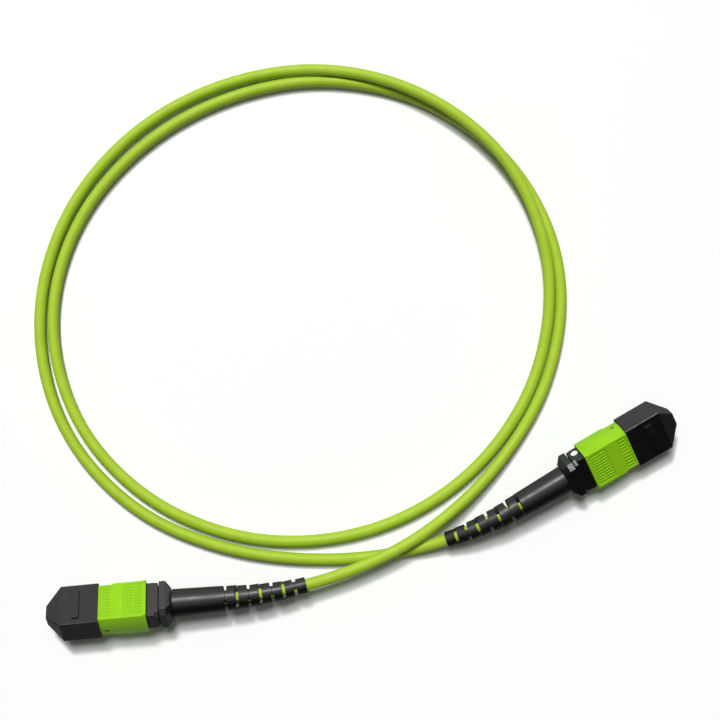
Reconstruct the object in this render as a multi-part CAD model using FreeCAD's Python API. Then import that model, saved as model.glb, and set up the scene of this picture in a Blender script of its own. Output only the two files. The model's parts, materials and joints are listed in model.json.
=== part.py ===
"""An MPO patch cord: two multi-fibre push-on connectors on one round jacketed cable.

Every connector is built once, in its own frame, by build_connector(): x runs along its axis, from the
nose (-x) to the boot (+x), with x = 0 at the front edge of the pull sleeve; y is its width and z its
height, with the key on +z. The near connector lies along the row's X axis; the far one is on the end
of the cable. Lengths are millimetres.
"""
import FreeCAD, Part
import math
import os

from FreeCAD import Placement, Rotation, Vector

# ---- pull sleeve: the lime outer housing that is gripped to release the plug
SLEEVE_WIDTH = 12.4            # across the bowed narrow sides
SLEEVE_FLAT_WIDTH = 11.2       # of each flat wide face
SLEEVE_HEIGHT = 7.9
SLEEVE_LENGTH = 12.85
SLEEVE_GRIP_LENGTH = 3.85      # front part, set back all round
SLEEVE_GRIP_STEP = 0.2
SLEEVE_CORNER_CUT = 0.9        # chamfer of the rear corners, along the length
SLEEVE_CORNER_DEPTH = 0.45
GRIP_PANEL = (0.55, 3.35)      # front and back of the shallow panel in the grip's wide faces
REAR_PANEL = (6.9, 12.15)
PANEL_WIDTH = 9.7
PANEL_DEPTH = 0.16
GRIP_RIB_ROW = (0.95, 2.95)    # front and back of the short ribs that stand in the panel
GRIP_RIB_COUNT = 9
GRIP_RIB_PITCH = 1.03
REAR_RIB_ROWS = ((7.3, 9.15), (9.65, 11.5))
REAR_RIB_COUNT = 10
REAR_RIB_PITCH = 0.9
PANEL_RIB_THICKNESS = 0.32
SLEEVE_HOLE_RADIUS = 0.62
SLEEVE_HOLE_X = 1.85
SLEEVE_HOLE_OFFSET = 1.35

# ---- inner housing: the plug body that enters an adapter
PLUG_WIDTH = 9.6
PLUG_HEIGHT = 6.1
PLUG_REACH = 8.6               # of the nose ahead of the sleeve
PLUG_NOSE_CHAMFER = 0.4
KEY_WIDTH = 2.8
KEY_HEIGHT = 0.5
KEY_START = 3.8                # behind the nose's front face
LATCH_NOTCH_LENGTH = 1.7
LATCH_NOTCH_DEPTH = 0.5
LATCH_NOTCH_HEIGHT = 4.4
LATCH_NOTCH_GAP = 0.9          # from the notch to the sleeve
BAND_STEP = 0.4                # of the housing's wider rear, on each side
BAND_START = 11.2
RIB_STEP = 0.1                 # of the rib behind the band, in from it on each narrow side
RIB_HEIGHT = 6.0
RIB_START = 15.0
RIB_END = 15.95
RIB_FLAT = 1.2                 # cut off at two opposite long corners
DOT_RADIUS = 1.0               # painted mark of the fibre-1 side
DOT_THICKNESS = 0.06
DOT_X = 14.2
DOT_Z = 0.85

# ---- dust cap
CAP_WIDTH = 12.5
CAP_HEIGHT = 7.9
CAP_LENGTH = 10.25             # the straight part
CAP_NOSE_LENGTH = 4.15
CAP_END_WIDTH = 4.05
CAP_END_HEIGHT = 3.4
CAP_CAVITY_DEPTH = 9.9
CAP_EDGE = 0.25                # chamfer along the long edges
CAP_BAR_LENGTH = 8.7           # raised grip bar across each wide face
CAP_BAR_WIDTH = 2.0
CAP_BAR_HEIGHT = 0.5
CAP_BAR_X = 6.15               # its middle, ahead of the sleeve
SLIP = 0.06                    # clearance of each part that slides on the plug

# ---- ferrule and what it carries
FERRULE_WIDTH = 6.4
FERRULE_HEIGHT = 2.5
FERRULE_LENGTH = 8.0
FERRULE_PROUD = 0.8            # of its face ahead of the plug's nose
FLANGE_WIDTH = 7.2
FLANGE_HEIGHT = 3.0
FLANGE_LENGTH = 2.0
PIN_HOLE_RADIUS = 0.35
PIN_PITCH = 4.6
FIBRE_COUNT = 12
FIBRE_PITCH = 0.25
FIBRE_RADIUS = 0.0625
FIBRE_SIDES = 8                # drawn with few faces
FIBRE_HOLE_CLEARANCE = 0.005
FERRULE_TRAVEL = 0.6
WINDOW_LENGTH = 1.5            # glue window in the ferrule's top
WINDOW_WIDTH = 3.2
WINDOW_X = 3.2                 # its front edge, behind the ferrule's face
POCKET_WIDTH = 3.7             # pocket in the ferrule's rear for its rubber boot
POCKET_HEIGHT = 1.8
POCKET_DEPTH = 2.6
RIBBON_WIDTH = 3.1
RIBBON_THICKNESS = 0.32
RIBBON_FRONT = 4.7             # where the ribbon's coating ends, behind the ferrule's face
RIBBON_END_GAP = 0.2           # left to the jacket with the ferrule pushed in
KEEPER_LENGTH = 1.5
KEEPER_HEIGHT = 4.4

# ---- cavities of the inner housing, and springs
WELL_SIDE_GAP = 0.1            # round the flange
WELL_TOP_GAP = 0.25            # round the keeper and the ferrule spring
FERRULE_SPRING_RADIUS = 2.05   # to the middle of the wire
FERRULE_WIRE_RADIUS = 0.19
FERRULE_SPRING_COILS = 5
SIDE_SPRING_RADIUS = 0.48
SIDE_WIRE_RADIUS = 0.11
SIDE_SPRING_COILS = 6
COIL_SEGMENTS = 8              # straight runs in a turn of a spring
WIRE_SIDES = 4
SIDE_GROOVE_DEPTH = 0.8
SIDE_GROOVE_HEIGHT = 1.5
SIDE_GROOVE_START = 2.85
SPRING_GAP = 0.05

# ---- rear body, pushed and latched into the housing's back
GROOVE_WALL = 0.3              # of the housing between each side groove and the insert
INSERT_HEIGHT = 4.7
INSERT_START = 7.6
HOOK_LENGTH = 1.9
HOOK_WIDTH = 3.8
HOOK_START = 9.05
HOOK_HEIGHT = 0.55
SHOULDER_WIDTH = 10.2
SHOULDER_HEIGHT = 7.3
SHOULDER_START = 16.3
SHOULDER_EDGE = 18.0           # where its taper starts
SHOULDER_END = 19.5
SHOULDER_END_WIDTH = 6.6
SHOULDER_END_HEIGHT = 5.6
SHOULDER_FLAT = 1.45           # cut off at two opposite long corners
POST_RADIUS = 2.3
POST_BORE_RADIUS = 1.68
POST_END = 26.3

# ---- crimp, cable and boot
JACKET_RADIUS = 1.6
JACKET_SIDES = 16              # drawn with few faces
JACKET_START = 28.5            # end of the cable's jacket inside the crimp
CRIMP_START = 20.2
CRIMP_STEP = 26.8
CRIMP_END = 31.4
CRIMP_RADIUS = 2.9
CRIMP_STEP_WALL = 0.3
CRIMP_ROOM = 0.3               # of the boot behind the crimp
CRIMP_SMALL_RADIUS = 2.15
YARN_THICKNESS = 0.22
YARN_START_GAP = 0.4           # behind the crimp's front edge
FIT_GAP = 0.02                 # between pieces that are pressed or crimped together
BOOT_START = 19.8
BOOT_END = 56.0
BOOT_TIP_X = 56.2              # furthest point of its bent end, along the connector's axis
BOOT_ROOT_RADIUS = 3.87
BOOT_SHANK_RADIUS = 3.43       # where its slots start
BOOT_END_RADIUS = 2.08
BOOT_BORE_RADIUS = 1.75
SLOT_COUNT = 7
SLOT_START = 34.0
SLOT_PITCH = 3.15
SLOT_WIDTH = 0.92
SLOT_BRIDGE = 0.4              # half width of the bridges left, as a share of the boot's radius
BENT_SLOTS = (2, 5)            # the two slots where the boot bends towards the cable
RING_LAP = 0.5                 # of each ring of the boot into the wider one before it

# ---- how the two connectors lie: each is rolled by the cable on to one long lower edge
ROLL_DEG = 34.5
NEAR_BOOT_TWIST_DEG = 16.5     # each boot's slots are turned on the round crimp
FAR_BOOT_TWIST_DEG = -61.5
FAR_FRONT = Vector(125.5, 31.6, 0)
FAR_HEADING_DEG = 204.7

# ---- the cable's route along the floor: two loose turns, past the crimp of each connector.
# The two end points at each connector are worked out from it; the others are chosen by hand.
ROUTE_FROM_NEAR = [
    (45.5, 3.1, 5.6), (68.5, 11.5, 5.4), (91.1, 28.6, 1.9), (108.5, 52.6, 1.6), (114.8, 83.2, 1.6),
    (104.4, 113.1, 1.6), (81.4, 133.9, 1.6), (53.1, 142.9, 1.6), (24.8, 140.2, 1.6), (-0.6, 128.7, 1.6),
    (-20.8, 108.5, 1.6), (-30.5, 80.9, 1.6), (-25.6, 52.0, 1.6), (-8.5, 29.4, 1.6), (15.0, 16.1, 1.6),
    (40.5, 12.2, 1.6), (65.8, 17.1, 1.6), (88.5, 31.1, 1.6), (105.2, 53.7, 1.6), (111.4, 82.8, 3.0),
    (103.5, 112.6, 5.3), (81.9, 134.6, 5.3), (53.7, 145.7, 3.4), (23.9, 144.4, 1.6), (-3.2, 132.4, 1.6),
    (-24.1, 110.5, 1.6), (-34.1, 81.3, 1.6), (-29.8, 50.7, 1.6), (-11.8, 26.2, 1.6), (13.4, 12.6, 1.6),
    (40.6, 7.2, 1.6), (65.3, 7.8, 1.6)]
CORNER_SHARE = 0.24            # of the shorter run, cut off on each side of a corner


def block(x0, x1, width, height, y=0.0, z=0.0):
    """A box from x0 to x1, centred on (y, z)."""
    return Part.makeBox(x1 - x0, width, height, Vector(x0, y - width / 2, z - height / 2))


def rod(x0, x1, radius, y=0.0, z=0.0):
    return Part.makeCylinder(radius, x1 - x0, Vector(x0, y, z), Vector(1, 0, 0))


def polygon(radius, sides, start, ahead):
    """A wire with straight sides round start and across ahead, its corners at radius."""
    turns = [math.tau * i / sides for i in range(sides + 1)]
    wire = Part.makePolygon([Vector(0, radius * math.cos(turn), radius * math.sin(turn)) for turn in turns])
    wire.Placement = Placement(start, Rotation(Vector(1, 0, 0), ahead))
    return wire


def prism(x0, x1, radius, sides, y=0.0):
    """A rod with flat sides."""
    return extrude_x(polygon(radius, sides, Vector(x0, y, 0), Vector(1, 0, 0)), x1 - x0)


def section(x, width, height, cuts=(0, 0, 0, 0)):
    """A rectangular wire across the axis at x; cuts are taken off its +y+z, +y-z, -y-z and -y+z corners."""
    points = []
    for (side, up), cut in zip(((1, 1), (1, -1), (-1, -1), (-1, 1)), cuts):
        y, z = side * width / 2, up * height / 2
        ends = [Vector(x, y - side * cut, z), Vector(x, y, z - up * cut)]
        points += ends[:1] if cut == 0 else ends[::side * up]
    return Part.makePolygon(points + points[:1])


def tapered(front, back):
    """The solid between two sections whose sides are parallel, with flat faces."""
    starts = [vertex.Point for vertex in front.OrderedVertexes]
    ends = [vertex.Point for vertex in back.OrderedVertexes]
    faces = [Part.Face(front), Part.Face(back)]
    for i in range(len(starts)):
        corners = [starts[i - 1], starts[i], ends[i], ends[i - 1]]
        faces.append(Part.Face(Part.makePolygon(corners + corners[:1])))
    return Part.Solid(Part.Shell(faces))


def extrude_x(wire, length):
    return Part.Face(wire).extrude(Vector(length, 0, 0))


def bowed_section(x, flat_width, bowed_width, height):
    """The sleeve's section: flat wide faces and narrow sides bowed out to bowed_width."""
    half_f, half_b, half_h = flat_width / 2, bowed_width / 2, height / 2
    top = Part.LineSegment(Vector(x, half_f, half_h), Vector(x, -half_f, half_h)).toShape()
    left = Part.Arc(Vector(x, -half_f, half_h), Vector(x, -half_b, 0), Vector(x, -half_f, -half_h)).toShape()
    low = Part.LineSegment(Vector(x, -half_f, -half_h), Vector(x, half_f, -half_h)).toShape()
    right = Part.Arc(Vector(x, half_f, -half_h), Vector(x, half_b, 0), Vector(x, half_f, half_h)).toShape()
    return Part.Wire([top, left, low, right])


def half_turn(shape):
    """A copy turned by 180 degrees about the connector's axis."""
    turned = shape.copy()
    turned.rotate(Vector(0, 0, 0), Vector(1, 0, 0), 180)
    return turned


def mirrored(shape):
    """A copy mirrored from one narrow side to the other."""
    return shape.mirror(Vector(0, 0, 0), Vector(0, 1, 0))


def mitred_sweep(profile, points):
    """The profile, a wire across the first run, swept along straight runs with mitred corners."""
    return Part.Wire(Part.makePolygon(points)).makePipeShell([profile], True, False, 1)


def coil_spring(x0, x1, radius, wire_radius, coils, y=0.0):
    """A spring along x between x0 and x1, its coils and its wire drawn with few faces."""
    pitch = (x1 - x0 - 2 * wire_radius) / coils
    turns = [i / COIL_SEGMENTS for i in range(coils * COIL_SEGMENTS + 1)]
    points = [Vector(x0 + wire_radius + pitch * turn, y + radius * math.cos(math.tau * turn),
                     radius * math.sin(math.tau * turn)) for turn in turns]
    return mitred_sweep(polygon(wire_radius, WIRE_SIDES, points[0], points[1] - points[0]), points)


# ---------------------------------------------------------------- the connector's pieces
def dust_cap():
    front = -CAP_LENGTH
    base = section(front, CAP_WIDTH, CAP_HEIGHT, 4 * (CAP_EDGE,))
    body = extrude_x(base, CAP_LENGTH)
    nose = tapered(section(front - CAP_NOSE_LENGTH, CAP_END_WIDTH, CAP_END_HEIGHT, 4 * (CAP_EDGE,)), base)
    cavity = block(-CAP_CAVITY_DEPTH, 0, PLUG_WIDTH + 2 * SLIP, PLUG_HEIGHT + 2 * SLIP)
    keyway_top = PLUG_HEIGHT / 2 + KEY_HEIGHT + SLIP
    keyway = block(-PLUG_REACH + KEY_START - SLIP, 0, KEY_WIDTH + 2 * SLIP, keyway_top, z=keyway_top / 2)
    bar = block(-CAP_BAR_X - CAP_BAR_WIDTH / 2, -CAP_BAR_X + CAP_BAR_WIDTH / 2, CAP_BAR_LENGTH,
                2 * CAP_BAR_HEIGHT, z=CAP_HEIGHT / 2)
    return body.fuse([nose, bar, half_turn(bar)]).cut([cavity, keyway]).removeSplitter()


def band_width():
    return PLUG_WIDTH + 2 * BAND_STEP


def insert_width():
    return PLUG_WIDTH - 2 * (SIDE_GROOVE_DEPTH + GROOVE_WALL)


def ribbed_panel(ends, rows, count, pitch, face):
    """The pocket of a panel in the wide face at height face, less the rows of short ribs that stand in it."""
    pocket = block(*ends, PANEL_WIDTH, 2 * PANEL_DEPTH, z=face)
    across_face = [(i - (count - 1) / 2) * pitch for i in range(count)]
    return pocket.cut([block(*row, PANEL_RIB_THICKNESS, 3 * PANEL_DEPTH, y=y, z=face) for row in rows
                       for y in across_face])


def pull_sleeve():
    grip = extrude_x(bowed_section(0, SLEEVE_FLAT_WIDTH - 2 * SLEEVE_GRIP_STEP, SLEEVE_WIDTH - 2 * SLEEVE_GRIP_STEP,
                                   SLEEVE_HEIGHT - 2 * SLEEVE_GRIP_STEP), SLEEVE_GRIP_LENGTH)
    main = extrude_x(bowed_section(SLEEVE_GRIP_LENGTH, SLEEVE_FLAT_WIDTH, SLEEVE_WIDTH, SLEEVE_HEIGHT),
                     SLEEVE_LENGTH - SLEEVE_GRIP_LENGTH)
    front_bore = block(0, SLEEVE_GRIP_LENGTH, PLUG_WIDTH + 4 * SLIP, PLUG_HEIGHT + 4 * SLIP)
    rear_bore = block(SLEEVE_GRIP_LENGTH, SLEEVE_LENGTH, band_width() + 4 * SLIP, PLUG_HEIGHT + 4 * SLIP)
    hole = Part.makeCylinder(SLEEVE_HOLE_RADIUS, (SLEEVE_WIDTH - PLUG_WIDTH) / 2,
                             Vector(SLEEVE_HOLE_X, -SLEEVE_WIDTH / 2, -SLEEVE_HOLE_OFFSET), Vector(0, 1, 0))
    corner = Part.Face(Part.makePolygon([
        Vector(SLEEVE_LENGTH - SLEEVE_CORNER_CUT, SLEEVE_FLAT_WIDTH / 2, 0),
        Vector(SLEEVE_LENGTH, SLEEVE_FLAT_WIDTH / 2, 0),
        Vector(SLEEVE_LENGTH, SLEEVE_FLAT_WIDTH / 2 - SLEEVE_CORNER_DEPTH, 0),
        Vector(SLEEVE_LENGTH - SLEEVE_CORNER_CUT, SLEEVE_FLAT_WIDTH / 2, 0)]))
    top_cut = corner.extrude(Vector(0, 0, SLEEVE_HEIGHT / 2))
    cuts = [top_cut, mirrored(top_cut), half_turn(top_cut), mirrored(half_turn(top_cut))]
    panels = [ribbed_panel(GRIP_PANEL, [GRIP_RIB_ROW], GRIP_RIB_COUNT, GRIP_RIB_PITCH,
                           SLEEVE_HEIGHT / 2 - SLEEVE_GRIP_STEP),
              ribbed_panel(REAR_PANEL, REAR_RIB_ROWS, REAR_RIB_COUNT, REAR_RIB_PITCH, SLEEVE_HEIGHT / 2)]
    panels += [half_turn(panel) for panel in panels]
    sleeve = grip.fuse(main).cut([front_bore, rear_bore, hole, half_turn(hole)] + panels)
    side = PLUG_WIDTH / 2
    lug_floor = side - SIDE_GROOVE_DEPTH + 2 * SLIP
    lug_top = side + 3 * SLIP
    lug = block(SIDE_GROOVE_START + SLIP, SLEEVE_GRIP_LENGTH, lug_top - lug_floor,
                SIDE_GROOVE_HEIGHT - 4 * SLIP, y=(lug_floor + lug_top) / 2)
    return sleeve.fuse([lug, mirrored(lug)]).removeSplitter(), cuts


def inner_housing():
    front = -PLUG_REACH
    nose = tapered(section(front, PLUG_WIDTH - 2 * PLUG_NOSE_CHAMFER, PLUG_HEIGHT - 2 * PLUG_NOSE_CHAMFER),
                   section(front + PLUG_NOSE_CHAMFER, PLUG_WIDTH, PLUG_HEIGHT))
    plug = block(front + PLUG_NOSE_CHAMFER, BAND_START, PLUG_WIDTH, PLUG_HEIGHT)
    band = block(BAND_START, RIB_START, band_width(), PLUG_HEIGHT)
    rib = extrude_x(section(RIB_START, band_width() - 2 * RIB_STEP, RIB_HEIGHT, (0, RIB_FLAT, 0, RIB_FLAT)),
                    RIB_END - RIB_START)
    key_start = front + KEY_START
    key = block(key_start, -SLIP, KEY_WIDTH, KEY_HEIGHT, z=(PLUG_HEIGHT + KEY_HEIGHT) / 2)
    aperture = block(front, ferrule_stop(), FERRULE_WIDTH + SLIP, FERRULE_HEIGHT + SLIP)
    well = block(ferrule_stop(), INSERT_START, FLANGE_WIDTH + 2 * WELL_SIDE_GAP, KEEPER_HEIGHT + 2 * WELL_TOP_GAP)
    socket = block(INSERT_START, RIB_END, insert_width() + 2 * FIT_GAP, INSERT_HEIGHT + 2 * FIT_GAP)
    window = block(HOOK_START - FIT_GAP, HOOK_START + HOOK_LENGTH + FIT_GAP, HOOK_WIDTH + 2 * FIT_GAP, PLUG_HEIGHT)
    notch = block(-LATCH_NOTCH_GAP - LATCH_NOTCH_LENGTH, -LATCH_NOTCH_GAP, 2 * LATCH_NOTCH_DEPTH, LATCH_NOTCH_HEIGHT,
                  y=PLUG_WIDTH / 2)
    groove = block(SIDE_GROOVE_START, BAND_START, 2 * SIDE_GROOVE_DEPTH, SIDE_GROOVE_HEIGHT, y=PLUG_WIDTH / 2)
    body = nose.fuse([plug, band, rib, key])
    return body.cut([aperture, well, socket, window, notch, mirrored(notch), groove, mirrored(groove)]).removeSplitter()


def polarity_dot():
    return Part.makeCylinder(DOT_RADIUS, DOT_THICKNESS, Vector(DOT_X, band_width() / 2, DOT_Z), Vector(0, 1, 0))


def ferrule_face():
    return -PLUG_REACH - FERRULE_PROUD


def ferrule_stop():
    """The step in the housing that the ferrule's flange is sprung against."""
    return ferrule_face() + FERRULE_LENGTH - FLANGE_LENGTH - FIT_GAP


def ferrule_back():
    return ferrule_face() + FERRULE_LENGTH


def fibre_positions():
    first = -(FIBRE_COUNT - 1) / 2 * FIBRE_PITCH
    return [first + FIBRE_PITCH * i for i in range(FIBRE_COUNT)]


def ferrule():
    face, back = ferrule_face(), ferrule_back()
    body = block(face, back, FERRULE_WIDTH, FERRULE_HEIGHT)
    flange = block(back - FLANGE_LENGTH, back, FLANGE_WIDTH, FLANGE_HEIGHT)
    pin_holes = [rod(face, back, PIN_HOLE_RADIUS, y=side * PIN_PITCH / 2) for side in (-1, 1)]
    fibre_holes = [prism(face, face + WINDOW_X, FIBRE_RADIUS + FIBRE_HOLE_CLEARANCE, FIBRE_SIDES, y=y)
                   for y in fibre_positions()]
    window = block(face + WINDOW_X, face + WINDOW_X + WINDOW_LENGTH, WINDOW_WIDTH, FERRULE_HEIGHT / 2 + RIBBON_THICKNESS,
                   z=(FERRULE_HEIGHT / 2 - RIBBON_THICKNESS) / 2)
    throat = block(face + WINDOW_X, back, RIBBON_WIDTH + 2 * FIT_GAP, RIBBON_THICKNESS + 2 * FIT_GAP)
    pocket = block(back - POCKET_DEPTH, back, POCKET_WIDTH, POCKET_HEIGHT)
    return body.fuse(flange).cut(pin_holes + fibre_holes + [window, throat, pocket]).removeSplitter()


def ferrule_boot():
    """The rubber sleeve that seats the ribbon in the ferrule's rear pocket."""
    back = ferrule_back()
    boot = block(back - POCKET_DEPTH + FIT_GAP, back + KEEPER_LENGTH, POCKET_WIDTH - 2 * FIT_GAP,
                 POCKET_HEIGHT - 2 * FIT_GAP)
    bore = block(back - POCKET_DEPTH, back + KEEPER_LENGTH, RIBBON_WIDTH + 2 * FIT_GAP,
                 RIBBON_THICKNESS + 2 * FIT_GAP)
    return boot.cut(bore)


def pin_keeper():
    """The clamp behind the flange that the spring pushes on; its pin sockets are empty in a female plug."""
    start = ferrule_back() + FIT_GAP
    end = ferrule_back() + KEEPER_LENGTH
    plate = block(start, end, FLANGE_WIDTH, KEEPER_HEIGHT)
    opening = block(start, end, POCKET_WIDTH + 2 * FIT_GAP, POCKET_HEIGHT + 2 * FIT_GAP)
    sockets = [rod(start, end, PIN_HOLE_RADIUS, y=side * PIN_PITCH / 2) for side in (-1, 1)]
    return plate.cut([opening] + sockets)


def fibre_ribbon():
    face = ferrule_face()
    start = face + RIBBON_FRONT
    ribbon = block(start, JACKET_START - FERRULE_TRAVEL - RIBBON_END_GAP, RIBBON_WIDTH, RIBBON_THICKNESS)
    fibres = [prism(face, start, FIBRE_RADIUS, FIBRE_SIDES, y=y) for y in fibre_positions()]
    return ribbon.fuse(fibres).removeSplitter()


def ferrule_spring():
    start = ferrule_back() + KEEPER_LENGTH + SPRING_GAP
    return coil_spring(start, INSERT_START - SPRING_GAP, FERRULE_SPRING_RADIUS, FERRULE_WIRE_RADIUS,
                       FERRULE_SPRING_COILS)


def sleeve_spring():
    """The return spring on one narrow side, between the sleeve's lug and the end of the housing's groove."""
    middle = PLUG_WIDTH / 2 - SIDE_GROOVE_DEPTH + SIDE_SPRING_RADIUS + SIDE_WIRE_RADIUS + SPRING_GAP
    return coil_spring(SLEEVE_GRIP_LENGTH + SPRING_GAP, BAND_START - SPRING_GAP, SIDE_SPRING_RADIUS,
                       SIDE_WIRE_RADIUS, SIDE_SPRING_COILS, y=middle)


def rear_body():
    insert = block(INSERT_START, SHOULDER_START, insert_width(), INSERT_HEIGHT)
    flats = (0, SHOULDER_FLAT, 0, SHOULDER_FLAT)
    edge = section(SHOULDER_EDGE, SHOULDER_WIDTH, SHOULDER_HEIGHT, flats)
    shoulder = extrude_x(edge, SHOULDER_START - SHOULDER_EDGE)
    taper = tapered(edge, section(SHOULDER_END, SHOULDER_END_WIDTH, SHOULDER_END_HEIGHT, flats))
    post = rod(SHOULDER_END, POST_END, POST_RADIUS)
    hook_wire = Part.makePolygon([
        Vector(HOOK_START, -HOOK_WIDTH / 2, INSERT_HEIGHT / 2),
        Vector(HOOK_START + HOOK_LENGTH, -HOOK_WIDTH / 2, INSERT_HEIGHT / 2),
        Vector(HOOK_START + HOOK_LENGTH, -HOOK_WIDTH / 2, INSERT_HEIGHT / 2 + HOOK_HEIGHT),
        Vector(HOOK_START, -HOOK_WIDTH / 2, INSERT_HEIGHT / 2)])
    hook = Part.Face(hook_wire).extrude(Vector(0, HOOK_WIDTH, 0))
    bore = rod(INSERT_START, POST_END, POST_BORE_RADIUS)
    body = insert.fuse([shoulder, taper, post, hook, half_turn(hook)])
    return body.cut(bore).removeSplitter()


def strength_yarn():
    """The cable's aramid yarn, folded over the post and held by the crimp."""
    inside = POST_RADIUS + FIT_GAP
    return rod(CRIMP_START + YARN_START_GAP, POST_END, inside + YARN_THICKNESS).cut(rod(CRIMP_START, POST_END, inside))


def crimp_ring():
    large = rod(CRIMP_START, CRIMP_STEP, CRIMP_RADIUS)
    small = rod(CRIMP_STEP, CRIMP_END, CRIMP_SMALL_RADIUS)
    large_bore = rod(CRIMP_START, CRIMP_STEP - CRIMP_STEP_WALL, POST_RADIUS + YARN_THICKNESS + 2 * FIT_GAP)
    return large.fuse(small).cut([large_bore, rod(CRIMP_START, CRIMP_END, JACKET_RADIUS + FIT_GAP)]).removeSplitter()


# ---------------------------------------------------------------- the boot, bent with the cable
def slot_x(i):
    return SLOT_START + SLOT_PITCH * i


def bend_x():
    """Where the cable's route has its corner, midway between the two slots that share the bend."""
    return (slot_x(BENT_SLOTS[0]) + slot_x(BENT_SLOTS[1])) / 2


def bend_reach():
    """How far from the corner the route is cut off, to bend in those slots."""
    return (slot_x(BENT_SLOTS[1]) - slot_x(BENT_SLOTS[0])) / 2


def boot_point(x, direction):
    """Point of the boot's centreline at x mm along it, for a cable that leaves in direction."""
    corner, reach = Vector(bend_x(), 0, 0), bend_reach()
    if x <= bend_x() - reach:
        return Vector(x, 0, 0)
    if x >= bend_x() + reach:
        return corner + direction * (x - bend_x())
    start, end = corner - Vector(reach, 0, 0), corner + direction * reach
    return start + (end - start) * ((x - bend_x() + reach) / (2 * reach))


def boot_radius(x):
    share = (x - SLOT_START) / (BOOT_END - SLOT_START)
    return BOOT_SHANK_RADIUS + (BOOT_END_RADIUS - BOOT_SHANK_RADIUS) * share


def boot_ring(x0, x1, direction):
    """The straight ring of the boot between the middles of two slots, or behind the last slot."""
    start, end = boot_point(x0, direction), boot_point(x1, direction)
    ahead = (end - start).normalize()
    return Part.makeCylinder(boot_radius((x0 + x1) / 2), (end - start).Length + RING_LAP, start - ahead * RING_LAP, ahead)


def boot_slots(x, twist, direction):
    """A pair of slots cut into the boot at x from two opposite sides."""
    inner = SLOT_BRIDGE * boot_radius(x)
    outer = 2 * BOOT_ROOT_RADIUS
    side = Part.makeBox(SLOT_WIDTH, outer, 2 * outer, Vector(-SLOT_WIDTH / 2, inner, -outer))
    tangent = boot_point(x + SLOT_WIDTH, direction) - boot_point(x - SLOT_WIDTH, direction)
    place = Placement(boot_point(x, direction), Rotation(Vector(1, 0, 0), tangent))
    slots = []
    for turn in (twist, twist + 180):
        slot = side.copy()
        slot.rotate(Vector(0, 0, 0), Vector(1, 0, 0), turn)
        slot.Placement = place.multiply(slot.Placement)
        slots.append(slot)
    return slots


def strain_relief_boot(direction, twist):
    shank = Part.makeCone(BOOT_ROOT_RADIUS, BOOT_SHANK_RADIUS, SLOT_START - BOOT_START,
                          Vector(BOOT_START, 0, 0), Vector(1, 0, 0))
    joints = [slot_x(i) for i in range(SLOT_COUNT)]
    rings = [boot_ring(x0, x1, direction) for x0, x1 in zip(joints, joints[1:] + [BOOT_END])]
    crimp_room = rod(BOOT_START, CRIMP_END + CRIMP_ROOM, CRIMP_RADIUS + FIT_GAP)
    bore_line = [boot_point(x, direction) for x in (CRIMP_END, bend_x() - bend_reach(), bend_x() + bend_reach(), BOOT_END)]
    bore = mitred_sweep(Part.Wire(Part.makeCircle(BOOT_BORE_RADIUS, bore_line[0], Vector(1, 0, 0))), bore_line)
    slots = []
    for i, x in enumerate(joints):
        slots += boot_slots(x, twist + 90 * (i % 2), direction)
    return shank.fuse(rings).cut([crimp_room, bore] + slots).removeSplitter()


# ---------------------------------------------------------------- connector, cable, files
def build_connector(bend_direction, boot_twist):
    """All pieces of one connector in its own frame, by name; bend_direction is the cable's way out."""
    sleeve, corner_cuts = pull_sleeve()
    spring = sleeve_spring()
    return {
        "dust_cap": dust_cap(),
        "pull_sleeve": sleeve.cut(corner_cuts),
        "inner_housing": inner_housing(),
        "polarity_dot": polarity_dot(),
        "ferrule": ferrule(),
        "ferrule_boot": ferrule_boot(),
        "pin_keeper": pin_keeper(),
        "fibre_ribbon": fibre_ribbon(),
        "ferrule_spring": ferrule_spring(),
        "sleeve_spring_left": spring,
        "sleeve_spring_right": mirrored(spring),
        "rear_body": rear_body(),
        "strength_yarn": strength_yarn(),
        "crimp_ring": crimp_ring(),
        "boot": strain_relief_boot(bend_direction, boot_twist)}


def rest_height():
    """Height of a connector's axis when it rests on the cap's lower long edge, rolled by ROLL_DEG."""
    roll = math.radians(ROLL_DEG)
    wide = (CAP_WIDTH / 2 - CAP_EDGE) * math.sin(roll) + CAP_HEIGHT / 2 * math.cos(roll)
    tall = CAP_WIDTH / 2 * math.sin(roll) + (CAP_HEIGHT / 2 - CAP_EDGE) * math.cos(roll)
    return max(wide, tall)


def near_placement():
    """Puts the row's origin under the middle of the near connector's length."""
    middle = (BOOT_TIP_X - CAP_LENGTH - CAP_NOSE_LENGTH) / 2
    return Placement(Vector(-middle, 0, rest_height()), Rotation(Vector(1, 0, 0), -ROLL_DEG))


def far_placement():
    """The far plug is key down, so it is turned over before it is rolled and headed."""
    lying = Rotation(Vector(0, 0, 1), FAR_HEADING_DEG).multiply(Rotation(Vector(1, 0, 0), 180 - ROLL_DEG))
    return Placement(FAR_FRONT + Vector(0, 0, rest_height()), lying)


def full_route():
    near, far = near_placement(), far_placement()
    ends = [Vector(JACKET_START, 0, 0), Vector(bend_x(), 0, 0)]
    middle = [Vector(*point) for point in ROUTE_FROM_NEAR]
    return [near.multVec(p) for p in ends] + middle + [far.multVec(p) for p in reversed(ends)]


def way_out(route, corner, following, placement):
    """Direction of the cable beyond a boot's corner, in the connector's own frame."""
    ahead = (route[following] - route[corner]).normalize()
    return placement.Rotation.inverted().multVec(ahead)


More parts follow.
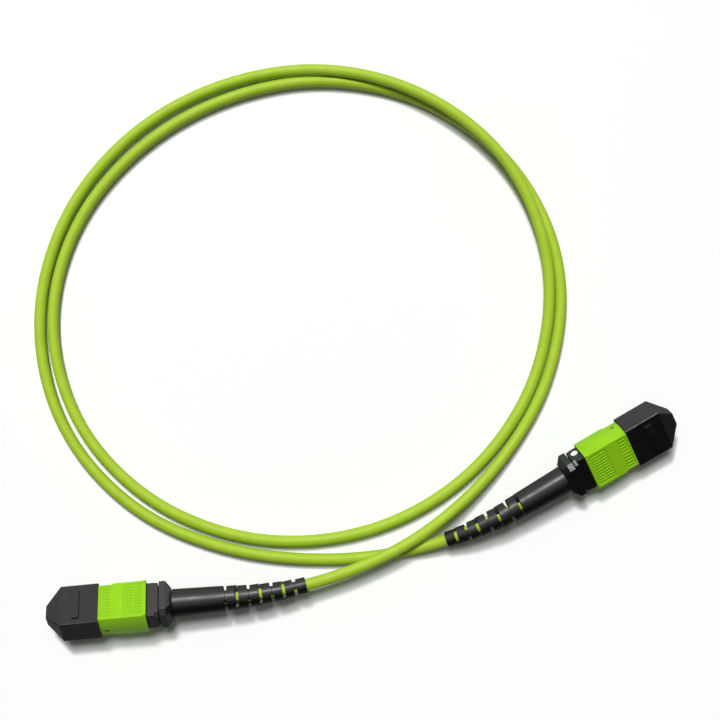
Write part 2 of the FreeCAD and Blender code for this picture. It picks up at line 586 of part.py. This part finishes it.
def cable(route):
    """The jacket as a tube along the route, each of its corners cut off by a short straight run."""
    points = [route[0]]
    last = len(route) - 2
    for i in range(1, last + 1):
        arriving, leaving = route[i] - route[i - 1], route[i + 1] - route[i]
        reach = bend_reach() if i in (1, last) else CORNER_SHARE * min(arriving.Length, leaving.Length)
        points += [route[i] - arriving.normalize() * reach, route[i] + leaving.normalize() * reach]
    points.append(route[-1])
    profile = polygon(JACKET_RADIUS, JACKET_SIDES, points[0], points[1] - points[0])
    tube = mitred_sweep(profile, points)
    length = sum((after - before).Length for before, after in zip(points, points[1:]))
    print("cable length %.1f, volume %.1f, section times length %.1f, lowest %.3f"
          % (length, tube.Volume, Part.Face(profile).Area * length, tube.BoundBox.ZMin))
    return tube


def main():
    os.makedirs("parts", exist_ok=True)
    route = full_route()
    near, far = near_placement(), far_placement()
    solids = {"cable_jacket": cable(route)}
    for name, placement, corner, following, twist in (("near", near, 1, 2, NEAR_BOOT_TWIST_DEG),
                                                      ("far", far, -2, -3, FAR_BOOT_TWIST_DEG)):
        pieces = build_connector(way_out(route, corner, following, placement), twist)
        for piece, shape in pieces.items():
            placed = shape.copy()
            placed.Placement = placement.multiply(placed.Placement)
            solids[name + "_" + piece] = placed
    for name, shape in solids.items():
        solid = shape if shape.ShapeType == "Solid" else Part.Solid(shape.Shells[0]) if len(shape.Shells) == 1 else shape
        if not solid.isValid() or solid.Volume <= 0:
            print("check", name, solid.ShapeType, solid.isValid(), solid.Volume)
        solid.exportStep("parts/" + name + ".step")


main()
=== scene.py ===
import json
import math

import bmesh
import bpy
from mathutils import Matrix, Vector


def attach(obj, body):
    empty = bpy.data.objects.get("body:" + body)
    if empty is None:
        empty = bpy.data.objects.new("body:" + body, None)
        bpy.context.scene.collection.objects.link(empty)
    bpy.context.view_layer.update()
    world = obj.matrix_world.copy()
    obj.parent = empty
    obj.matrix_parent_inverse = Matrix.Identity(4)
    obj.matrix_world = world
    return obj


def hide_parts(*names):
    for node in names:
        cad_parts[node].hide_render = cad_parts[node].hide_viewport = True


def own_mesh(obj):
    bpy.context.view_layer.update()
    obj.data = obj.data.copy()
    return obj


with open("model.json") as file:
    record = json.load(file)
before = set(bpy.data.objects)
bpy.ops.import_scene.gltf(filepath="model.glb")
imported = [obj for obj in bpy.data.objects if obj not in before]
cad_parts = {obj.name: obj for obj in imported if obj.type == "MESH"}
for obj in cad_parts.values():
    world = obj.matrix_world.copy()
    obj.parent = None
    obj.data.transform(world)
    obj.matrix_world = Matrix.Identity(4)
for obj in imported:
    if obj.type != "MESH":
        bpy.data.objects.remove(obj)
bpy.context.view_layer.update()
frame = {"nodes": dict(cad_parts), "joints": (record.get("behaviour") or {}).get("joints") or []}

nodes = frame["nodes"]
MM = 0.001


def placed(name, data):
    """A new object of the scene."""
    made = bpy.data.objects.new(name, data)
    bpy.context.scene.collection.objects.link(made)
    return made


# ---------------------------------------------------------------- camera, almost straight above
SENSOR_WIDTH = 36.0                                    # mm, as the lens
LENS = 84.15
CAMERA_AT = Vector((52.0, 9.3, 465.3)) * MM
CLIP_NEAR, CLIP_FAR = 0.01, 10.0                       # m

camera = placed("camera", bpy.data.cameras.new("camera"))
camera.data.sensor_width = SENSOR_WIDTH
camera.data.lens = LENS
camera.data.clip_start, camera.data.clip_end = CLIP_NEAR, CLIP_FAR
view_right = Vector((0.9956, -0.0937, -0.0036)).normalized()
view_back = Vector((-0.0070, -0.1122, 0.9937)).normalized()
view_up = view_back.cross(view_right).normalized()
view_right = view_up.cross(view_back)
camera.matrix_world = Matrix.Translation(CAMERA_AT) @ Matrix((view_right, view_up, view_back)).transposed().to_4x4()
bpy.context.scene.camera = camera

# ---------------------------------------------------------------- cable, repeated from the part's route in metres
ROUTE = [
    # inside the near connector
    (0.0076, 0.0, 0.006654), (0.0241, 0.0, 0.006654),
    # first turn
    (0.0455, 0.0031, 0.0056), (0.0685, 0.0115, 0.0054), (0.0911, 0.0286, 0.0019), (0.1085, 0.0526, 0.0016),
    (0.1148, 0.0832, 0.0016), (0.1044, 0.1131, 0.0016), (0.0814, 0.1339, 0.0016), (0.0531, 0.1429, 0.0016),
    (0.0248, 0.1402, 0.0016), (-0.0006, 0.1287, 0.0016), (-0.0208, 0.1085, 0.0016), (-0.0305, 0.0809, 0.0016),
    (-0.0256, 0.0520, 0.0016), (-0.0085, 0.0294, 0.0016), (0.0150, 0.0161, 0.0016), (0.0405, 0.0122, 0.0016),
    # second turn, over the first at the upper right
    (0.0658, 0.0171, 0.0016), (0.0885, 0.0311, 0.0016), (0.1052, 0.0537, 0.0016), (0.1114, 0.0828, 0.0030),
    (0.1035, 0.1126, 0.0053), (0.0819, 0.1346, 0.0053), (0.0537, 0.1457, 0.0034), (0.0239, 0.1444, 0.0016),
    (-0.0032, 0.1324, 0.0016), (-0.0241, 0.1105, 0.0016), (-0.0341, 0.0813, 0.0016), (-0.0298, 0.0507, 0.0016),
    (-0.0118, 0.0262, 0.0016), (0.0134, 0.0126, 0.0016), (0.0406, 0.0072, 0.0016), (0.0653, 0.0078, 0.0016),
    # inside the far connector
    (0.084617, 0.012796, 0.006654), (0.099608, 0.019691, 0.006654)]
CABLE_RADIUS = 0.0016
CABLE_STEPS = 14                   # along the spline, from one control point to the next
CABLE_ROUNDNESS = 7                # bevel resolution

curve = bpy.data.curves.new("cable", "CURVE")
curve.dimensions = "3D"
line = curve.splines.new("NURBS")
line.points.add(len(ROUTE) - 1)
for point, place in zip(line.points, ROUTE):
    point.co = (*place, 1.0)
    point.radius = CABLE_RADIUS
line.order_u = 3
line.use_endpoint_u = True
line.resolution_u = CABLE_STEPS
curve.resolution_u = CABLE_STEPS
curve.bevel_depth = 1.0            # times each point's radius
curve.bevel_resolution = CABLE_ROUNDNESS
curve.use_fill_caps = True
cable = placed("cable", curve)
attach(cable, "cord")
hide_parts("cable_jacket")

# ---------------------------------------------------------------- materials
NOISE_LOW, NOISE_HIGH = 0.3, 0.7   # the middle of a noise, stretched over the whole change
SHADER_SAMPLES = 6                 # for softened edges and recesses
TINT_SCALE = 260.0                 # of noises, per metre
GLOSS_SCALE = 800.0
FLOW_SCALE = 1500.0
METAL_TINT_SCALE = 1500.0
METAL_GLOSS_SCALE = 4000.0
FLOW_STRETCH = (0.35, 1.6, 1.6)    # drawn out along the connector
FLOW_DEPTH = 0.0001                # m
RECESS_DEEP, RECESS_OPEN = 0.45, 0.85      # open sky over a slot's floor and over a face


def linear(r, g, b):
    """A colour given as eight-bit sRGB values."""
    def channel(v):
        v /= 255.0
        return v / 12.92 if v <= 0.04045 else ((v + 0.055) / 1.055) ** 2.4
    return (channel(r), channel(g), channel(b), 1.0)


def grey(v):
    return (v, v, v, 1.0)


def material(name):
    made = bpy.data.materials.new(name)
    made.use_nodes = True
    tree = made.node_tree
    return made, tree, tree.nodes["Principled BSDF"]


def ramp(tree, value, low, high, dark, light):
    """Maps value from low..high to the colours dark..light."""
    node = tree.nodes.new("ShaderNodeValToRGB")
    first, last = node.color_ramp.elements
    first.position, first.color = low, dark
    last.position, last.color = high, light
    tree.links.new(value, node.inputs["Fac"])
    return node.outputs["Color"]


def noise(tree, coords, scale, detail=3.0):
    node = tree.nodes.new("ShaderNodeTexNoise")
    node.inputs["Scale"].default_value = scale
    node.inputs["Detail"].default_value = detail
    node.inputs["Roughness"].default_value = 0.55
    tree.links.new(coords, node.inputs["Vector"])
    return node.outputs["Fac"]


def mottle(tree, coords, scale, dark, light, detail=3.0):
    """Wanders between two colours."""
    return ramp(tree, noise(tree, coords, scale, detail), NOISE_LOW, NOISE_HIGH, dark, light)


def larger(tree, a, b):
    node = tree.nodes.new("ShaderNodeMath")
    node.operation = "MAXIMUM"
    tree.links.new(a, node.inputs[0])
    tree.links.new(b, node.inputs[1])
    return node.outputs[0]


def bump(tree, height, strength, distance, under=None):
    node = tree.nodes.new("ShaderNodeBump")
    node.inputs["Strength"].default_value = strength
    node.inputs["Distance"].default_value = distance
    tree.links.new(height, node.inputs["Height"])
    if under is not None:
        tree.links.new(under, node.inputs["Normal"])
    return node.outputs["Normal"]


def rounded(tree, radius):
    node = tree.nodes.new("ShaderNodeBevel")
    node.samples = SHADER_SAMPLES
    node.inputs["Radius"].default_value = radius
    return node.outputs["Normal"]


def recess(tree, reach):
    """Rises from 0 on open faces to 1 in slots and corners."""
    node = tree.nodes.new("ShaderNodeAmbientOcclusion")
    node.samples = SHADER_SAMPLES
    node.inputs["Distance"].default_value = reach
    return ramp(tree, node.outputs["AO"], RECESS_DEEP, RECESS_OPEN, grey(1.0), grey(0.0))


def moulded(name, dark, light, rough_low, rough_high, edge=0.00012, grain=9000.0, grain_depth=0.000012,
            grain_strength=0.35, specular=0.5, matt_slots=0.0, flow_lines=0.12):
    """Moulded plastic: a fine spark-eroded grain, faint flow lines along the part and softened edges."""
    made, tree, shader = material(name)
    coords = tree.nodes.new("ShaderNodeTexCoord").outputs["Object"]
    stretch = tree.nodes.new("ShaderNodeMapping")
    stretch.inputs["Scale"].default_value = FLOW_STRETCH
    tree.links.new(coords, stretch.inputs["Vector"])
    flow = stretch.outputs["Vector"]
    tree.links.new(mottle(tree, coords, TINT_SCALE, dark, light), shader.inputs["Base Color"])
    gloss = mottle(tree, flow, GLOSS_SCALE, grey(rough_low), grey(rough_high), detail=4.0)
    if matt_slots:
        gloss = larger(tree, gloss, recess(tree, matt_slots))
    tree.links.new(gloss, shader.inputs["Roughness"])
    under = rounded(tree, edge) if edge else None
    under = bump(tree, noise(tree, flow, FLOW_SCALE), flow_lines, FLOW_DEPTH, under)
    tree.links.new(bump(tree, noise(tree, coords, grain, detail=2.0), grain_strength, grain_depth, under),
                   shader.inputs["Normal"])
    shader.inputs["Specular IOR Level"].default_value = specular
    return made


def metal(name, dark, light, rough_low, rough_high):
    """Bare metal, with a fine change of colour and gloss."""
    made, tree, shader = material(name)
    coords = tree.nodes.new("ShaderNodeTexCoord").outputs["Object"]
    tree.links.new(mottle(tree, coords, METAL_TINT_SCALE, dark, light, detail=5.0), shader.inputs["Base Color"])
    tree.links.new(mottle(tree, coords, METAL_GLOSS_SCALE, grey(rough_low), grey(rough_high)),
                   shader.inputs["Roughness"])
    shader.inputs["Metallic"].default_value = 1.0
    return made


cap_black = moulded("cap_black", linear(8, 8, 9), linear(14, 14, 15), 0.3, 0.46,
                    edge=0.00016, matt_slots=0.0012, flow_lines=0.25)
housing_black = moulded("housing_black", linear(8, 8, 9), linear(14, 14, 15), 0.3, 0.42,
                        edge=0.00014, specular=0.75, matt_slots=0.0012, flow_lines=0.2)
boot_black = moulded("boot_black", linear(8, 8, 9), linear(13, 13, 14), 0.33, 0.43,
                     edge=0.0001, grain=5000.0, matt_slots=0.002)
sleeve_lime = moulded("sleeve_lime", linear(138, 197, 4), linear(147, 205, 10), 0.4, 0.5,
                      edge=0.00016, specular=0.38)
jacket_lime = moulded("jacket_lime", linear(159, 192, 38), linear(167, 200, 46), 0.46, 0.58,
                      edge=0.0, grain=2600.0, grain_depth=0.00002)
mark_white = moulded("mark_white", linear(232, 234, 236), linear(244, 245, 246), 0.45, 0.6, edge=0.0)
ferrule_dark = moulded("ferrule_dark", linear(58, 50, 44), linear(70, 60, 52), 0.25, 0.35, edge=0.00005)
rubber_grey = moulded("rubber_grey", linear(52, 52, 54), linear(64, 64, 66), 0.6, 0.75, edge=0.00005)
ribbon_clear = moulded("ribbon_clear", linear(205, 214, 218), linear(224, 230, 232), 0.18, 0.28, edge=0.0)
yarn_yellow = moulded("yarn_yellow", linear(214, 186, 70), linear(236, 206, 92), 0.6, 0.8,
                      edge=0.0, grain=14000.0, grain_depth=0.00006, grain_strength=0.8)
spring_steel = metal("spring_steel", grey(0.5), grey(0.62), 0.2, 0.32)
keeper_metal = metal("keeper_metal", grey(0.48), grey(0.6), 0.3, 0.42)
crimp_metal = metal("crimp_metal", (0.6, 0.58, 0.55, 1), (0.7, 0.69, 0.66, 1), 0.28, 0.42)

LOOKS = {                          # by the node's name without near_ or far_
    "dust_cap": cap_black,
    "pull_sleeve": sleeve_lime,
    "inner_housing": housing_black,
    "polarity_dot": mark_white,
    "ferrule": ferrule_dark,
    "ferrule_boot": rubber_grey,
    "pin_keeper": keeper_metal,
    "fibre_ribbon": ribbon_clear,
    "ferrule_spring": spring_steel,
    "sleeve_spring_left": spring_steel,
    "sleeve_spring_right": spring_steel,
    "rear_body": housing_black,
    "strength_yarn": yarn_yellow,
    "crimp_ring": crimp_metal,
    "boot": boot_black}
for node_name, piece in nodes.items():
    look = jacket_lime if node_name == "cable_jacket" else LOOKS[node_name.split("_", 1)[1]]
    piece.data.materials.clear()
    piece.data.materials.append(look)
curve.materials.append(jacket_lime)

# ---------------------------------------------------------------- springs, wound smooth; each set along its joint's axis
WIRE_SIDES = 10
TURN_STEPS = 28
CLOSED_RISE = 2.1                  # of an end turn, in wire radii
FERRULE_COIL = {"coil_radius": 2.05 * MM, "wire_radius": 0.19 * MM, "coils": 4}
SLEEVE_COIL = {"coil_radius": 0.48 * MM, "wire_radius": 0.11 * MM, "coils": 8}


def spring(node_name, joint_name, coil_radius, wire_radius, coils):
    """A compression spring in the CAD spring's place, with a closed turn at each end."""
    joint = next(j for j in frame["joints"] if j["name"] == joint_name)
    along = Vector(joint["axis"]).normalized()
    side = Vector((0, 0, 1)).cross(along).normalized()
    up = along.cross(side)
    corners = [v.co for v in nodes[node_name].data.vertices]

    def reach(way):
        return min(way.dot(c) for c in corners), max(way.dot(c) for c in corners)

    front, back = reach(along)
    middle = side * sum(reach(side)) / 2 + up * sum(reach(up)) / 2
    closed = CLOSED_RISE * wire_radius
    open_rise = back - front - 2 * wire_radius - 2 * closed
    made = bmesh.new()
    rings = []
    for step in range((coils + 2) * TURN_STEPS + 1):
        turn = step / TURN_STEPS
        opened = min(max(turn - 1, 0), coils)
        depth = front + wire_radius + closed * (turn - opened) + open_rise * opened / coils
        slope = (open_rise / coils if 1 < turn < coils + 1 else closed) / math.tau
        angle = math.tau * turn
        out = side * math.cos(angle) + up * math.sin(angle)
        ahead = ((up * math.cos(angle) - side * math.sin(angle)) * coil_radius + along * slope).normalized()
        across = ahead.cross(out)
        centre = middle + along * depth + out * coil_radius
        rings.append([made.verts.new(centre + wire_radius * (out * math.cos(math.tau * i / WIRE_SIDES) +
                                                             across * math.sin(math.tau * i / WIRE_SIDES)))
                      for i in range(WIRE_SIDES)])
    for ring, following in zip(rings, rings[1:]):
        for i in range(WIRE_SIDES):
            j = (i + 1) % WIRE_SIDES
            made.faces.new((ring[i], ring[j], following[j], following[i])).smooth = True
    made.faces.new(rings[0][::-1])
    made.faces.new(rings[-1])
    bmesh.ops.recalc_face_normals(made, faces=made.faces[:])
    mesh = bpy.data.meshes.new(node_name + "_coil")
    made.to_mesh(mesh)
    made.free()
    mesh.materials.append(spring_steel)
    piece = placed(node_name + "_coil", mesh)
    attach(piece, "cord")
    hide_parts(node_name)
    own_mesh(piece)
    return piece


on_far_end = {name: piece for name, piece in nodes.items() if name.startswith("far_")}
for end in ("near", "far"):
    wound = {f"{end}_ferrule_spring": spring(f"{end}_ferrule_spring", f"{end}_ferrule_float", **FERRULE_COIL)}
    for flank in ("left", "right"):
        name = f"{end}_sleeve_spring_{flank}"
        wound[name] = spring(name, f"{end}_sleeve_slide", **SLEEVE_COIL)
    if end == "far":
        on_far_end.update(wound)       # in place of the CAD springs

# ---------------------------------------------------------------- floor
FLOOR_HALF = 3.0                   # m
FLOOR_DROP = 0.00005               # m, just under what lies on it
FLOOR_WHITE = 0.937                # as the camera and mirrors see it
FLOOR_BOUNCE = 0.84                # as it lights the pieces


def ray(tree, *kinds):
    """1 for rays of these kinds, and 0 for others."""
    rays = tree.nodes.new("ShaderNodeLightPath")
    seen = rays.outputs[kinds[0]]
    for kind in kinds[1:]:
        seen = larger(tree, seen, rays.outputs[kind])
    return seen


floor_mesh = bpy.data.meshes.new("floor")
floor_mesh.from_pydata([(-FLOOR_HALF, -FLOOR_HALF, 0), (FLOOR_HALF, -FLOOR_HALF, 0),
                        (FLOOR_HALF, FLOOR_HALF, 0), (-FLOOR_HALF, FLOOR_HALF, 0)], [], [(0, 1, 2, 3)])
floor = placed("floor", floor_mesh)
floor.location.z = -FLOOR_DROP
floor.visible_glossy = False       # the studio below stands for it in reflections
floor_white, tree, shader = material("floor_white")
seen = ray(tree, "Is Camera Ray", "Is Glossy Ray", "Is Transmission Ray")
tree.links.new(ramp(tree, seen, 0.0, 1.0, grey(FLOOR_BOUNCE), grey(FLOOR_WHITE)), shader.inputs["Base Color"])
shader.inputs["Roughness"].default_value = 0.4
shader.inputs["Specular IOR Level"].default_value = 0.25
floor_mesh.materials.append(floor_white)

# ---------------------------------------------------------------- studio: the pieces mirror one that is bright on
# the far side, dim below and dark on the near side; the camera sees plain white
SKY_DIFFUSE = 0.08                 # as it lights the pieces
FAR_SIDE = (0.0, 0.8, 0.6)
BELOW = (0.0, 0.0, -1.0)
BELOW_STRENGTH = 0.25

world = bpy.data.worlds.new("studio")
world.use_nodes = True
bpy.context.scene.world = world
tree = world.node_tree
background = tree.nodes["Background"]
background.inputs["Color"].default_value = grey(1.0)
direction = tree.nodes.new("ShaderNodeTexCoord").outputs["Generated"]


def glow(toward, low, high):
    """Rises from dark to full as the direction turns towards the given one."""
    facing = tree.nodes.new("ShaderNodeVectorMath")
    facing.operation = "DOT_PRODUCT"
    facing.inputs[1].default_value = toward
    tree.links.new(direction, facing.inputs[0])
    rise = tree.nodes.new("ShaderNodeMapRange")
    rise.interpolation_type = "SMOOTHSTEP"
    rise.inputs["From Min"].default_value, rise.inputs["From Max"].default_value = low, high
    tree.links.new(facing.outputs["Value"], rise.inputs["Value"])
    return rise.outputs["Result"]


below = tree.nodes.new("ShaderNodeMath")
below.operation = "MULTIPLY"
below.inputs[1].default_value = BELOW_STRENGTH
tree.links.new(glow(BELOW, 0.0, 0.4), below.inputs[0])
strength = tree.nodes.new("ShaderNodeMix")
tree.links.new(ray(tree, "Is Glossy Ray", "Is Transmission Ray"), strength.inputs["Factor"])
strength.inputs["A"].default_value = SKY_DIFFUSE
tree.links.new(larger(tree, glow(FAR_SIDE, -0.15, 0.65), below.outputs[0]), strength.inputs["B"])
tree.links.new(larger(tree, strength.outputs["Result"], ray(tree, "Is Camera Ray")), background.inputs["Strength"])

# ---------------------------------------------------------------- lamps, from the far side; the soft one is higher
KEY_ENERGY, KEY_TOWARD, KEY_ANGLE = 1.69, (-0.12, 0.50, 0.86), 8          # angles in degrees
SOFT_ENERGY, SOFT_TOWARD, SOFT_ANGLE = 1.68, (-0.06, 0.34, 0.94), 22


def sun(name, energy, toward, angle):
    lamp = placed(name, bpy.data.lights.new(name, "SUN"))
    lamp.data.energy = energy
    lamp.data.angle = math.radians(angle)
    lamp.rotation_mode = "QUATERNION"
    lamp.rotation_quaternion = Vector(toward).to_track_quat("Z", "Y")
    return lamp


sun("key", KEY_ENERGY, KEY_TOWARD, KEY_ANGLE)
sun("soft", SOFT_ENERGY, SOFT_TOWARD, SOFT_ANGLE).visible_glossy = False    # the studio stands for it in reflections

bpy.context.scene.view_settings.view_transform = "Standard"
